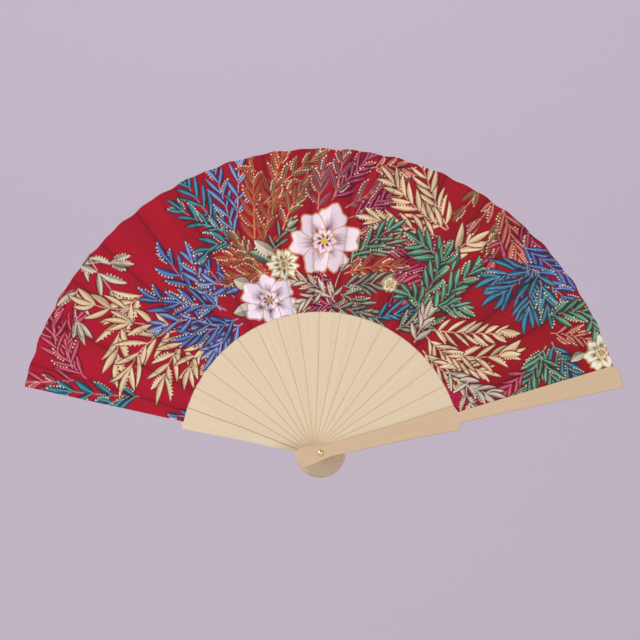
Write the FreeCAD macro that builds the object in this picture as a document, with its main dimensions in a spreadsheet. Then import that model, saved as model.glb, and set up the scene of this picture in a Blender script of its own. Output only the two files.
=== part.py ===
"""Folding hand fan: two guards and sixteen ribs turning on one rivet, with a pleated cloth leaf.

Frame, in millimetres: the origin is the rivet's centre, half way through the stack of sticks. The rivet
lies along Y, the front is -Y, and the middle of the open fan points up, along +Z. Stick 0 is the rear
guard, on the left, and each stick after it lies one layer nearer the front and one step to the right.

A stick is drawn along its own X axis, from its back face at Y = 0 towards the front, and is then turned
about the rivet. Panel k of the leaf is stuck to stick k, and fold k joins panel k to panel k + 1.
"""
import FreeCAD
import Part
import Sketcher

import os

# name, value, what it is
SIZES = [
    ("rib_count", 16, "thin sticks between the two guards"),
    ("open_angle", 150.9, "from one guard's centre line to the other's, fully open"),
    ("rear_guard_angle", 165.3, "rear guard's centre line, anticlockwise from +X seen from the front"),
    ("layer_pitch", 1.0, "from one rib's back face to the next one's"),
    ("layer_clearance", 0.05, "running gap between two sticks"),
    ("guard_thickness", 2.4, "the two outer sticks"),
    ("guard_recess", 0.6, "how far the leaf's seat is sunk into a guard's inner face"),
    ("pivot_hole_radius", 1.30, "hole in every stick"),
    ("tail_end_x", 12.4, "below the rivet, where the round end starts"),
    ("tail_end_half", 6.8, "half the width there"),
    ("tail_round", 7.1, "radius of the round end"),
    ("tail_flare_x", 8.0, "below the rivet, where the tail reaches its width"),
    ("tail_flare_half", 6.6, "half the width there"),
    ("neck_x", 7.0, "above the rivet, the narrowest place"),
    ("neck_half", 4.2, "half the width there"),
    ("middle_x", 58.0, "half way up the broad part"),
    ("middle_half", 6.1, "half the width there"),
    ("shoulder_x", 96.6, "top corners of the broad part"),
    ("shoulder_half", 8.6, "half the width there"),
    ("shoulder_round", 97.0, "radius of the broad part's top edge"),
    ("guide_width", 4.2, "thin strip behind the leaf"),
    ("guide_thickness", 0.40, "the same strip"),
    ("guide_start", 93.5, "inside the broad part"),
    ("guide_end", 207.0, "just short of the leaf's edge"),
    ("guard_step_x", 98.6, "where the guard has stepped in to its narrow part"),
    ("guard_half_angle", 2.2, "half the angle of the guard's narrow part"),
    ("guard_tip_x", 212.7, "end of the front guard"),
    ("rear_tip_x", 207.0, "end of the rear guard, hidden behind the leaf"),
    ("tip_upper_round", 5.6, "rounded corner at the guard's tip, on the opening side"),
    ("tip_lower_round", 1.5, "the other corner"),
    ("guard_edge_round", 0.45, "softened outer edge of a guard"),
    ("rib_edge_bevel", 0.3, "softened front edge of a rib"),
    ("leaf_inner", 97.2, "leaf's inner radius"),
    ("leaf_outer", 209.7, "leaf's outer radius"),
    ("cloth_thickness", 0.18, "one layer of the leaf"),
    ("fold_gap", 0.07, "from a panel's edge to its fold line"),
    ("glue_gap", 0.02, "between a panel and what it is stuck to"),
    ("pleat_tilt", 6.6, "tilt of a panel and its guide about the rib's centre line"),
    ("last_tilt", 2.0, "the same on the last rib, which has to shut flat against the front guard"),
    ("pin_radius", 1.25, "rivet shaft"),
    ("washer_radius", 2.4, "ring under each head of the rivet, sunk flush into the guard"),
    ("washer_thickness", 0.3, "the same ring"),
    ("washer_hole", 1.28, "its hole"),
    ("sink_radius", 2.46, "round seat for the ring in the guard's outer face"),
    ("sink_depth", 0.32, "the same seat"),
    ("head_radius", 1.85, "rivet head"),
    ("head_height", 0.9, "rivet head"),
]

DERIVED = [
    ("step_angle", "open_angle / (rib_count + 1)", "from one stick to the next"),
    ("panel_angle", "step_angle / 2", "angle of each panel and of each fold"),
    ("stack_depth", "2 * guard_thickness + rib_count * layer_pitch + layer_clearance", "all the sticks"),
    ("rib_thickness", "layer_pitch - layer_clearance", "broad part of a rib"),
    ("guide_depth", "rib_thickness / 2", "from a rib's back face to the middle of its guide"),
    ("leaf_middle", "(leaf_inner + leaf_outer) / 2", "radius where the folds' slopes are taken"),
    ("cloth_on_guide", "guide_thickness / 2 + glue_gap + cloth_thickness / 2", "guide's middle to cloth's"),
    ("cloth_on_guard", "guard_recess - glue_gap - cloth_thickness / 2", "guard's inner face to cloth"),
    ("fold_run", "2 * leaf_middle * tan(panel_angle / 2)", "width of a fold at the middle radius"),
]


def make_sheet(doc):
    """The spreadsheet that every size is read from."""
    sheet = doc.addObject("Spreadsheet::Sheet", "Sizes")
    rows = [(name, str(value), words) for name, value, words in SIZES]
    rows += [(name, "=" + formula, words) for name, formula, words in DERIVED]
    for row, (name, text, words) in enumerate(rows, start=1):
        sheet.set(f"A{row}", name)
        sheet.set(f"B{row}", text)
        sheet.set(f"C{row}", words)
        sheet.setAlias(f"B{row}", name)
    doc.recompute()
    return sheet


def size(name):
    return f"Sizes.{name}"


def origin_plane(body, role):
    return next(f for f in body.Origin.OriginFeatures if f.Role == role)


def new_sketch(body, role):
    """An empty sketch on one of the body's own origin planes."""
    sketch = body.newObject("Sketcher::SketchObject", body.Name + "_sketch")
    sketch.AttachmentSupport = [(origin_plane(body, role), "")]
    sketch.MapMode = "FlatFace"
    return sketch


def pin_down(sketch, edge, end, name, across, along, at):
    """Ties one end of an edge to two sizes, given as formulas, where at is its drawn place."""
    for axis, kind, formula, value in (("x", "DistanceX", across, at[0]), ("y", "DistanceY", along, at[1])):
        number = sketch.addConstraint(Sketcher.Constraint(kind, -1, 1, edge, end, value))
        sketch.renameConstraint(number, f"{name}_{axis}")
        sketch.setExpression(f"Constraints.{name}_{axis}", formula)


def draw_loop(doc, sketch, corners, rounds):
    """Draws a closed loop. corners are (name, x formula, y formula), and rounds gives the radius formula of
    the arc that leaves a corner, by the corner's name; every other side is straight."""
    places = []
    for name, across, along in corners:
        places.append(FreeCAD.Vector(value_of(doc, across), value_of(doc, along), 0))
    count = len(corners)
    for number, (name, _, _) in enumerate(corners):
        start, end = places[number], places[(number + 1) % count]
        if name in rounds:
            sketch.addGeometry(bulging_arc(start, end, value_of(doc, rounds[name])))
        else:
            sketch.addGeometry(Part.LineSegment(start, end))
    for number in range(count):
        sketch.addConstraint(Sketcher.Constraint("Coincident", number, 2, (number + 1) % count, 1))
    for number, (name, across, along) in enumerate(corners):
        pin_down(sketch, number, 1, name, across, along, places[number])
        if name in rounds:
            made = sketch.addConstraint(Sketcher.Constraint("Radius", number, value_of(doc, rounds[name])))
            sketch.renameConstraint(made, f"{name}_radius")
            sketch.setExpression(f"Constraints.{name}_radius", rounds[name])


def bulging_arc(start, end, radius):
    """The short arc from start to end that swells to the right of the way from one to the other."""
    chord = end - start
    rise = radius - (radius**2 - (chord.Length / 2) ** 2) ** 0.5
    outward = FreeCAD.Vector(chord.y, -chord.x, 0).normalize()
    return Part.Arc(start, (start + end) / 2 + outward * rise, end)


def value_of(doc, formula):
    """The number a formula of sheet names gives, found by the sheet itself."""
    sheet = doc.getObject("Sizes")
    value = sheet.evalExpression(formula.replace("Sizes.", ""))
    return float(getattr(value, "Value", value))


def add_circle(sketch, radius, name):
    """A round hole or shaft centred on the sketch's origin."""
    edge = sketch.addGeometry(Part.Circle(FreeCAD.Vector(0, 0, 0), FreeCAD.Vector(0, 0, 1), 1.0))
    sketch.addConstraint(Sketcher.Constraint("Coincident", edge, 3, -1, 1))
    made = sketch.addConstraint(Sketcher.Constraint("Radius", edge, 1.0))
    sketch.renameConstraint(made, name)
    sketch.setExpression(f"Constraints.{name}", radius)


def mirrored(corners):
    """Corners along one side, then the same ones back along the other side."""
    back = [(name + "_far", across, f"-({along})") for name, across, along in reversed(corners)]
    return corners + back


def tail_corners():
    """One side of a stick from its round lower end to the neck, on the clockwise side."""
    return [
        ("tail_end", "-Sizes.tail_end_x", "-Sizes.tail_end_half"),
        ("tail_flare", "-Sizes.tail_flare_x", "-Sizes.tail_flare_half"),
        ("neck", "Sizes.neck_x", "-Sizes.neck_half"),
        ("middle", "Sizes.middle_x", "-Sizes.middle_half"),
        ("shoulder", "Sizes.shoulder_x", "-Sizes.shoulder_half"),
    ]


def guard_corners(tip):
    """One side of a guard, with the narrow part that runs on past the broad one to its tip."""
    edge = "-{} * tan(Sizes.guard_half_angle)"
    return tail_corners() + [
        ("step", "Sizes.guard_step_x", edge.format("Sizes.guard_step_x")),
        ("tip", tip, edge.format(tip)),
    ]


def pad(body, sketch, name, length):
    feature = body.newObject("PartDesign::Pad", name)
    feature.Profile = sketch
    feature.setExpression("Length", length)
    return feature


def edges_where(shape, test):
    """Names of the edges whose every end and middle passes the test."""
    names = []
    for number, edge in enumerate(shape.Edges, start=1):
        first, last = edge.ParameterRange
        if all(test(edge.valueAt(first + (last - first) * share)) for share in (0, 0.5, 1)):
            names.append(f"Edge{number}")
    return names


def fillet(body, base, name, edges, radius):
    feature = body.newObject("PartDesign::Fillet", name)
    feature.Base = (base, edges)
    feature.setExpression("Radius", radius)
    return feature


def stick_angle(number):
    return f"Sizes.rear_guard_angle - {number} * Sizes.step_angle"


def stick_back(number, ribs):
    """Y of a stick's back face."""
    if number == 0:
        return "Sizes.stack_depth / 2"
    if number <= ribs:
        return (
            "Sizes.stack_depth / 2 - Sizes.guard_thickness - Sizes.layer_clearance"
            f" - {number - 1} * Sizes.layer_pitch"
        )
    return "Sizes.guard_thickness - Sizes.stack_depth / 2"


def place_stick(body, number, ribs):
    """Turns a stick about the rivet to its own angle, in its own layer."""
    turn = f"rotationy(-({stick_angle(number)}))"
    body.setExpression("Placement", f"placement(vector(0; {stick_back(number, ribs)}; 0); {turn})")


def add_blade(doc, body, corners, rounds, thickness):
    """The flat of a stick, with its pivot hole, from Y = 0 towards the front."""
    sketch = new_sketch(body, "XZ_Plane")
    draw_loop(doc, sketch, mirrored(corners), rounds)
    add_circle(sketch, size("pivot_hole_radius"), "pivot_hole")
    doc.recompute()
    return pad(body, sketch, body.Name + "_blade", thickness)


def add_guide(doc, body, tilt):
    """The thin strip behind the leaf, tilted with the pleat about the rib's centre line."""
    sketch = new_sketch(body, "YZ_Plane")
    corners = [
        ("back", "Sizes.guide_thickness / 2", "-Sizes.guide_width / 2"),
        ("back_far", "Sizes.guide_thickness / 2", "Sizes.guide_width / 2"),
        ("front", "-Sizes.guide_thickness / 2", "Sizes.guide_width / 2"),
        ("front_far", "-Sizes.guide_thickness / 2", "-Sizes.guide_width / 2"),
    ]
    draw_loop(doc, sketch, corners, {})
    sketch.setExpression(
        "AttachmentOffset",
        f"placement(vector(-Sizes.guide_depth; 0; Sizes.guide_start); rotationz({tilt}))",
    )
    doc.recompute()
    return pad(body, sketch, body.Name + "_guide", "Sizes.guide_end - Sizes.guide_start")


def make_rib(doc, number, ribs):
    """One thin stick: a broad lower part with a tail round the rivet, and a guide behind the leaf."""
    body = doc.addObject("PartDesign::Body", f"rib_{number:02d}")
    rounds = {"shoulder": size("shoulder_round"), "tail_end_far": size("tail_round")}
    blade = add_blade(doc, body, tail_corners(), rounds, size("rib_thickness"))
    doc.recompute()
    front = -value_of(doc, size("rib_thickness"))
    rim = edges_where(blade.Shape, lambda p: abs(p.y - front) < 1e-6 and is_rim(doc, p))
    bevel = body.newObject("PartDesign::Chamfer", body.Name + "_edge")
    bevel.Base = (blade, rim)
    bevel.setExpression("Size", size("rib_edge_bevel"))
    add_guide(doc, body, tilt_of(number, ribs))
    place_stick(body, number, ribs)
    return body


def make_guard(doc, name, number, ribs, outer_is_front):
    """One thick outer stick. Its inner face has a sunk seat for the leaf along the narrow part."""
    body = doc.addObject("PartDesign::Body", name)
    end = size("guard_tip_x") if outer_is_front else size("rear_tip_x")
    rounds = {"tail_end_far": size("tail_round")}
    add_blade(doc, body, guard_corners(end), rounds, size("guard_thickness"))
    doc.recompute()
    cut_ring_seat(doc, body, outer_is_front)
    seated = cut_seat(doc, body, outer_is_front)
    doc.recompute()
    tip = value_of(doc, end)
    upper = edges_where(seated.Shape, lambda p: p.x > tip - 0.01 and p.z > 1)
    upper = [edge for edge in upper if is_across(seated.Shape, edge)]
    rounded = fillet(body, seated, name + "_upper_corner", upper, size("tip_upper_round"))
    doc.recompute()
    lower = edges_where(rounded.Shape, lambda p: p.x > tip - 0.01 and p.z < -1)
    lower = [edge for edge in lower if is_across(rounded.Shape, edge)]
    rounded = fillet(body, rounded, name + "_lower_corner", lower, size("tip_lower_round"))
    doc.recompute()
    outer = -value_of(doc, size("guard_thickness")) if outer_is_front else 0.0
    rim = edges_where(rounded.Shape, lambda p: abs(p.y - outer) < 1e-6 and is_rim(doc, p))
    fillet(body, rounded, name + "_edge", rim, size("guard_edge_round"))
    place_stick(body, number, ribs)
    return body


def is_rim(doc, point):
    """Whether a point is farther from the rivet than any hole round it."""
    return (point.x**2 + point.z**2) ** 0.5 > value_of(doc, size("sink_radius")) + 0.5


def is_across(shape, name):
    """Whether a named edge runs straight through the thickness."""
    edge = shape.getElement(name)
    return abs(edge.valueAt(edge.FirstParameter).y - edge.valueAt(edge.LastParameter).y) > 0.5


def sink(doc, body, sketch, name, depth, from_front):
    """Cuts a sketch on the XZ plane into a guard, from its front face or from its back one."""
    if from_front:
        sketch.setExpression("AttachmentOffset.Base.z", "Sizes.guard_thickness")
    doc.recompute()
    cut = body.newObject("PartDesign::Pocket", body.Name + name)
    cut.Profile = sketch
    cut.setExpression("Length", depth)
    cut.Reversed = not from_front
    return cut


def cut_seat(doc, body, outer_is_front):
    """Sinks the inner face of the guard's narrow part, so that the leaf has room when the fan is shut."""
    sketch = new_sketch(body, "XZ_Plane")
    corners = [
        ("near", "Sizes.leaf_inner - 0.5", "-Sizes.shoulder_half - 2"),
        ("tip", "Sizes.guard_tip_x + 2", "-Sizes.shoulder_half - 2"),
    ]
    draw_loop(doc, sketch, mirrored(corners), {})
    return sink(doc, body, sketch, "_seat", size("guard_recess"), not outer_is_front)


def cut_ring_seat(doc, body, outer_is_front):
    """Sinks a round seat for the rivet's ring into the guard's outer face."""
    sketch = new_sketch(body, "XZ_Plane")
    add_circle(sketch, size("sink_radius"), "ring_seat")
    return sink(doc, body, sketch, "_ring_seat", size("sink_depth"), outer_is_front)


def make_cloth(doc, name, angle, depth, tilt):
    """One flat sector of the leaf. angle and depth place its centre line, and tilt turns it about that."""
    cloth = doc.addObject("Part::Wedge", name)
    half = "({0} * tan(Sizes.panel_angle / 2) - Sizes.fold_gap)"
    inner, outer = half.format("Sizes.leaf_inner"), half.format("Sizes.leaf_outer")
    cloth.setExpression("Ymin", size("leaf_inner"))
    cloth.setExpression("Ymax", size("leaf_outer"))
    cloth.setExpression("Xmin", "-" + inner)
    cloth.setExpression("Xmax", inner)
    cloth.setExpression("X2min", "-" + outer)
    cloth.setExpression("X2max", outer)
    for side, sign in (("min", "-"), ("max", "")):
        cloth.setExpression("Z" + side, f"{sign}Sizes.cloth_thickness / 2")
        cloth.setExpression("Z2" + side, f"{sign}Sizes.cloth_thickness / 2")
    turn = f"rotationy(90 - ({angle})) * rotationx(90) * rotationy({tilt})"
    cloth.setExpression("Placement", f"placement(vector(0; {depth}; 0); {turn})")
    return cloth


def panel_depth(number, ribs):
    """Y of a panel's middle, on its stick's centre line."""
    back = stick_back(number, ribs)
    if number == 0:
        return f"{back} - Sizes.guard_thickness + Sizes.cloth_on_guard"
    if number <= ribs:
        return f"{back} - Sizes.guide_depth - Sizes.cloth_on_guide / cos({tilt_of(number, ribs)})"
    return f"{back} - Sizes.cloth_on_guard"


def tilt_of(number, ribs):
    """Tilt of a stick's guide and panel: none on a guard, and little on the last rib."""
    if number in (0, ribs + 1):
        return "0"
    return size("last_tilt") if number == ribs else size("pleat_tilt")


def fold_height(number, ribs):
    """How far a panel's edges stand before and behind its middle, at the middle radius."""
    return f"Sizes.fold_run / 2 * sin({tilt_of(number, ribs)})"


def make_panel(doc, number, ribs):
    """The part of the leaf that is stuck to one stick."""
    angle, depth, tilt = stick_angle(number), panel_depth(number, ribs), tilt_of(number, ribs)
    return make_cloth(doc, f"leaf_panel_{number:02d}", angle, depth, tilt)


def make_fold(doc, number, ribs):
    """The part of the leaf between two sticks, sloping from the valley fold to the ridge in front of it."""
    left = f"{panel_depth(number, ribs)} + {fold_height(number, ribs)}"
    right = f"{panel_depth(number + 1, ribs)} - {fold_height(number + 1, ribs)}"
    depth = f"(({left}) + ({right})) / 2"
    slope = f"-asin((({left}) - ({right})) / Sizes.fold_run)"
    angle = f"{stick_angle(number)} - Sizes.panel_angle"
    return make_cloth(doc, f"leaf_fold_{number:02d}", angle, depth, slope)


def make_rivet_pin(doc):
    """The brass pin through every stick, with a domed head at the front and one at the back."""
    body = doc.addObject("PartDesign::Body", "rivet_pin")
    sketch = new_sketch(body, "XY_Plane")
    face = "(Sizes.stack_depth / 2 + 0.02)"
    top = f"({face} + Sizes.head_height)"
    dome = "((Sizes.head_radius ^ 2 + Sizes.head_height ^ 2) / (2 * Sizes.head_height))"
    corners = [
        ("front_top", "0", "-" + top),
        ("front_rim", "Sizes.head_radius", "-" + face),
        ("front_shaft", "Sizes.pin_radius", "-" + face),
        ("back_shaft", "Sizes.pin_radius", face),
        ("back_rim", "Sizes.head_radius", face),
        ("back_top", "0", top),
    ]
    draw_loop(doc, sketch, corners, {"front_top": dome, "back_rim": dome})
    doc.recompute()
    turned = body.newObject("PartDesign::Revolution", "rivet_pin_turned")
    turned.Profile = sketch
    turned.ReferenceAxis = (sketch, ["V_Axis"])
    turned.Angle = 360
    return body


def make_washer(doc, name, back_face):
    """One brass ring under a head of the rivet, flush with the guard's outer face."""
    body = doc.addObject("PartDesign::Body", name)
    sketch = new_sketch(body, "XZ_Plane")
    add_circle(sketch, size("washer_radius"), "outer")
    add_circle(sketch, size("washer_hole"), "hole")
    doc.recompute()
    pad(body, sketch, name + "_ring", size("washer_thickness"))
    body.setExpression("Placement.Base.y", back_face)
    return body


def check(doc, nodes):
    """Stops if any object failed to build."""
    for thing in doc.Objects:
        if "Invalid" in thing.State or "Error" in thing.State:
            raise RuntimeError(f"{thing.Name} failed: {thing.State}")
    for node in nodes:
        shape = node.Shape
        if shape.isNull() or not shape.isValid() or len(shape.Solids) != 1:
            raise RuntimeError(f"{node.Name} isn't one good solid")


def write_parts(nodes):
    os.makedirs("parts", exist_ok=True)
    for node in nodes:
        node.Label = node.Name
        node.Shape.exportStep(f"parts/{node.Name}.step")


def make_fan(doc):
    """Every piece of the fan, back to front."""
    ribs = int(value_of(doc, size("rib_count")))
    nodes = [make_guard(doc, "rear_guard", 0, ribs, outer_is_front=False)]
    nodes += [make_rib(doc, number, ribs) for number in range(1, ribs + 1)]
    nodes.append(make_guard(doc, "front_guard", ribs + 1, ribs, outer_is_front=True))
    nodes += [make_panel(doc, number, ribs) for number in range(ribs + 2)]
    nodes += [make_fold(doc, number, ribs) for number in range(ribs + 1)]
    nodes.append(make_rivet_pin(doc))
    nodes.append(make_washer(doc, "front_washer", "Sizes.washer_thickness - Sizes.stack_depth / 2"))
    nodes.append(make_washer(doc, "rear_washer", "Sizes.stack_depth / 2"))
    return nodes


def main():
    doc = FreeCAD.newDocument("hand_fan")
    make_sheet(doc)
    nodes = make_fan(doc)
    doc.recompute()
    check(doc, nodes)
    write_parts(nodes)


main()
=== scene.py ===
"""Looks of the folding hand fan: plain wood, a brass rivet and a pleated cloth leaf, printed."""
import math
import random
from collections import namedtuple

import bpy
import numpy as np
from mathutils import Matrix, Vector


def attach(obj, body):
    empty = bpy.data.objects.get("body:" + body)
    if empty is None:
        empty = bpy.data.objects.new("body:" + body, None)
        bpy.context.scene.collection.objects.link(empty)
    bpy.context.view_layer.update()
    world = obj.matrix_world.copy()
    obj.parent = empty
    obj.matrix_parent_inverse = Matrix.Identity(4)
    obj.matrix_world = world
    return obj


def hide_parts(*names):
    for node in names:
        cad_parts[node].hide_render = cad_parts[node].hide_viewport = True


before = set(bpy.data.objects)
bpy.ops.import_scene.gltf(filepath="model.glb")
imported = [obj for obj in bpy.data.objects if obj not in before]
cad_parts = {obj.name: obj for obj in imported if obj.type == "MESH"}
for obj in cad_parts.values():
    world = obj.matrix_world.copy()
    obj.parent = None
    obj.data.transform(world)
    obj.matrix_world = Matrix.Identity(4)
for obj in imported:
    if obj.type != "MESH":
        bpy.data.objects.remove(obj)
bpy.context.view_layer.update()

MM = 0.001
SEED = 7
STICKS = 18
STICK_NAMES = ["rear_guard", *(f"rib_{n:02d}" for n in range(1, STICKS - 1)), "front_guard"]

# The leaf, in mm
INNER, OUTER = 97.05, 209.9  # radii
UNEVEN = 0.7  # how much its outer edge is cut back, give or take as much again
CLOTH = 0.18  # thickness
PINCH_LENGTH, PINCH_SHARE = 5, 0.08  # next to a ridge fold it thins over this length, to this share
CELL = 0.2  # of the grid the print is painted on
ROWS, COLUMNS = 280, 40  # faces on the front of one piece
BACK_ROWS, BACK_COLUMNS = 140, 20  # and on its back

# The print, in mm
OUTLINE = 0.38  # width of a printed leaf's outline
SHADOW_LENGTH, SHADOW_WIDTH = 1.6, 1.9  # how much longer and wider the painted shadow under it is


# ---------------------------------------------------------------- colours


def linear(red, green, blue):
    """A screen colour, 0 to 255, as the shader's linear one."""
    values = []
    for part in (red, green, blue):
        part /= 255
        values.append(part / 12.92 if part <= 0.04045 else ((part + 0.055) / 1.055) ** 2.4)
    return tuple(values)


def mixed(first, second, share):
    """The first colour, with a share of the second in it."""
    return tuple(a + (b - a) * share for a, b in zip(first, second))


# The ground's colour at its left and right ends: partly the cloth's own colour and partly painted light
# and shade.
GROUND_LEFT = linear(164, 16, 42)
GROUND_RIGHT = linear(144, 12, 26)
GROUND_PINK = linear(180, 18, 66)
GOLD = linear(246, 228, 186)
BACK_COLOUR = linear(150, 30, 46)
# Deep crimson for the painted shadow under each printed leaf.
LEAF_SHADOW = linear(104, 8, 20)
# Brown for the sticks' edges: partly painted shade between the sticks and partly darker cut wood.
EDGE_SHADE_AND_WOOD = linear(186, 158, 124)
BRASS = linear(240, 214, 158)
PAPER = linear(216, 206, 220)
SKY = linear(236, 232, 236)

# Each leaf has a colour at its base and tip, a darker half, an outline and a vein. dots is how many
# of its leaves have a dotted edge, slim scales their width and full how many leaves there are.
STYLES = {
    "cream": dict(base=(206, 176, 136), tip=(230, 210, 168), shade=(188, 156, 118), line=(110, 26, 34),
                  vein=(244, 230, 200), dots=0.35, slim=0.66, full=0.85),
    "pearl": dict(base=(176, 160, 136), tip=(214, 208, 186), shade=(130, 124, 112), line=(84, 28, 38),
                  vein=(236, 232, 214), dots=0.35, slim=0.8, full=0.7),
    "blue": dict(base=(26, 44, 116), tip=(92, 142, 208), shade=(24, 32, 92), line=(12, 12, 38),
                 vein=(160, 194, 234), dots=0.6, slim=0.84, full=0.85),
    "sky": dict(base=(56, 84, 160), tip=(128, 176, 222), shade=(40, 56, 128), line=(18, 16, 56),
                vein=(200, 218, 240), dots=0.3, slim=0.8, full=0.8),
    "teal": dict(base=(4, 60, 76), tip=(52, 156, 176), shade=(6, 42, 62), line=(6, 12, 26),
                 vein=(140, 206, 210), dots=0.7, slim=0.84, full=0.9),
    "lagoon": dict(base=(6, 44, 82), tip=(72, 160, 190), shade=(6, 28, 64), line=(4, 6, 30),
                   vein=(120, 200, 216), dots=0.1, slim=0.84, full=0.9),
    "emerald": dict(base=(8, 62, 52), tip=(124, 196, 156), shade=(8, 50, 44), line=(6, 16, 20),
                    vein=(160, 218, 190), dots=0.35, slim=0.84, full=0.9),
    "sage": dict(base=(44, 70, 60), tip=(152, 178, 148), shade=(34, 46, 44), line=(36, 10, 22),
                 vein=(206, 206, 188), dots=0.4, slim=0.76, full=0.9),
    "rose": dict(base=(168, 28, 64), tip=(216, 92, 120), shade=(136, 16, 50), line=(74, 6, 28),
                 vein=(240, 158, 170), dots=0.15, slim=0.8, full=1.0),
    "magenta": dict(base=(122, 12, 58), tip=(198, 48, 106), shade=(82, 8, 42), line=(36, 4, 22),
                    vein=(232, 150, 168), dots=0.5, slim=0.8, full=0.95),
    "plum": dict(base=(40, 18, 36), tip=(132, 84, 96), shade=(26, 12, 26), line=(190, 92, 104),
                 vein=(216, 150, 140), dots=0.6, slim=0.72, full=0.95),
    "coral": dict(base=(116, 18, 22), tip=(178, 58, 46), shade=(70, 16, 20), line=(192, 112, 78),
                  vein=(226, 156, 100), dots=0.6, slim=0.66, full=0.85),
    "olive": dict(base=(50, 38, 28), tip=(124, 108, 76), shade=(30, 24, 22), line=(196, 100, 72),
                  vein=(226, 176, 118), dots=0.8, slim=0.7, full=0.9),
    "salmon": dict(base=(176, 42, 52), tip=(222, 122, 112), shade=(120, 26, 38), line=(42, 8, 20),
                   vein=(246, 184, 150), dots=0.7, slim=0.8, full=0.9),
}
STYLES = {
    name: {part: linear(*value) if isinstance(value, tuple) else value for part, value in style.items()}
    for name, style in STYLES.items()
}


# ---------------------------------------------------------------- the printed pattern


class Shape:
    """One flat patch of colour, which may run from one colour at its start to another at its end."""

    def __init__(self, points, colour, end_colour=None, start=None, end=None):
        self.points = np.array(points, float)
        self.colour = np.array(colour)
        self.end_colour = None
        if end_colour is not None:
            self.end_colour = np.array(end_colour)
            self.start = np.array(start, float)
            self.along = np.array(end, float) - self.start

    def colours_at(self, places):
        """The shape's own colours at places that it covers."""
        if self.end_colour is None:
            return np.tile(self.colour, (len(places), 1))
        share = (places - self.start) @ self.along / (self.along @ self.along)
        share = np.clip(share, 0, 1)[:, None]
        return self.colour + (self.end_colour - self.colour) * share


def spot(angle, height):
    """A place on the leaf, from its angle in degrees and its height, 0 to 1 from the inner edge out."""
    radius = INNER + (OUTER - INNER) * height
    return np.array([math.cos(math.radians(angle)), math.sin(math.radians(angle))]) * radius


def unit(angle):
    """The direction that lies at an angle, in radians."""
    return np.array([math.cos(angle), math.sin(angle)])


def across(direction):
    """The direction a quarter turn to the left."""
    return np.array([-direction[1], direction[0]])


def leaf_sides(base, angle, length, width, bend, steps=8):
    """The middle line of a leaf, and the points along its left and right sides."""
    direction = unit(angle)
    side = across(direction)
    middle, left, right = [], [], []
    for step in range(steps + 1):
        share = step / steps
        centre = base + direction * length * share + side * bend * length * share * (1 - share)
        half = width / 2 * math.sin(math.pi * share**0.85) ** 0.9 if 0 < step < steps else 0
        middle.append(centre)
        left.append(centre + side * half)
        right.append(centre - side * half)
    return middle, left, right


def closed(out, back):
    """The outline that goes out along one line of points and back along another from the same base."""
    return out[1:] + back[:-1][::-1]


def add_leaf(shapes, rng, base, angle, length, width, style):
    """A pointed leaf: a painted shadow under it, an outline, two tones, a vein and sometimes a dotted
    edge.
    """
    bend = rng.uniform(-0.3, 0.3)
    direction = unit(angle)
    behind = base - direction * OUTLINE
    _, left, right = leaf_sides(behind, angle, length + SHADOW_LENGTH, width + SHADOW_WIDTH, bend)
    # The painted shadow under the leaf, a little longer and wider than the leaf.
    shapes.append(Shape(closed(left, right), LEAF_SHADOW))
    _, left, right = leaf_sides(behind, angle, length + 2.2 * OUTLINE, width + 2 * OUTLINE, bend)
    shapes.append(Shape(closed(left, right), style["line"]))
    middle, left, right = leaf_sides(base, angle, length, width, bend)
    tone = rng.uniform(-0.3, 0.3)
    root = mixed(style["base"], style["tip"], max(tone, 0))
    tip = mixed(style["tip"], style["base"], max(-tone, 0))
    end = base + direction * length
    shapes.append(Shape(closed(left, right), root, tip, base, end))
    shaded = closed(middle, right if rng.random() < 0.6 else left)
    shapes.append(Shape(shaded, style["shade"], mixed(style["shade"], tip, 0.35), base, end))
    add_vein(shapes, middle, style["vein"], min(0.34, width * 0.14))
    if rng.random() < style["dots"]:
        add_dots(shapes, left if rng.random() < 0.5 else right, side_of(middle, left), rng)


def side_of(middle, left):
    """The direction in which a leaf's left side lies."""
    return (left[2] - middle[2]) / max(np.linalg.norm(left[2] - middle[2]), 1e-6)


def add_vein(shapes, middle, colour, thickness):
    """A fine line up the middle of a leaf, which tapers to its tip."""
    points = np.array(middle[:-1])
    side = across(points[-1] - points[0])
    side = side / np.linalg.norm(side) * thickness / 2
    shapes.append(Shape([points[0] + side, points[3] + side * 0.8, points[-1], points[3] - side * 0.8,
                         points[0] - side], colour))


def add_dots(shapes, edge, side, rng):
    """Small gold dots along the outer part of a leaf's edge."""
    centre = np.mean(edge, axis=0)
    for point in edge[2:-1]:
        out = side * (1 if (point - centre) @ side > 0 else -1)
        add_dot(shapes, point + out * 0.5, rng.uniform(0.42, 0.6), GOLD)


def add_dot(shapes, centre, radius, colour):
    """A small dot, with six sides."""
    shapes.append(Shape([centre + unit(math.tau * n / 6) * radius for n in range(6)], colour))


def curve_point(path, share):
    """A point on the curve between a path's ends that is drawn towards its middle point."""
    first, pull, last = path
    return first * (1 - share) ** 2 + pull * 2 * share * (1 - share) + last * share**2


def add_stem(shapes, path, thick, thin, colour, steps=10):
    """A stem along a path, from one thickness to another."""
    left, right = [], []
    for step in range(steps + 1):
        share = step / steps
        here, there = curve_point(path, share), curve_point(path, share + 0.01)
        side = across(there - here)
        side = side / np.linalg.norm(side) * (thick + (thin - thick) * share) / 2
        left.append(here + side)
        right.append(here - side)
    shapes.append(Shape(left + right[::-1], colour))


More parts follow.
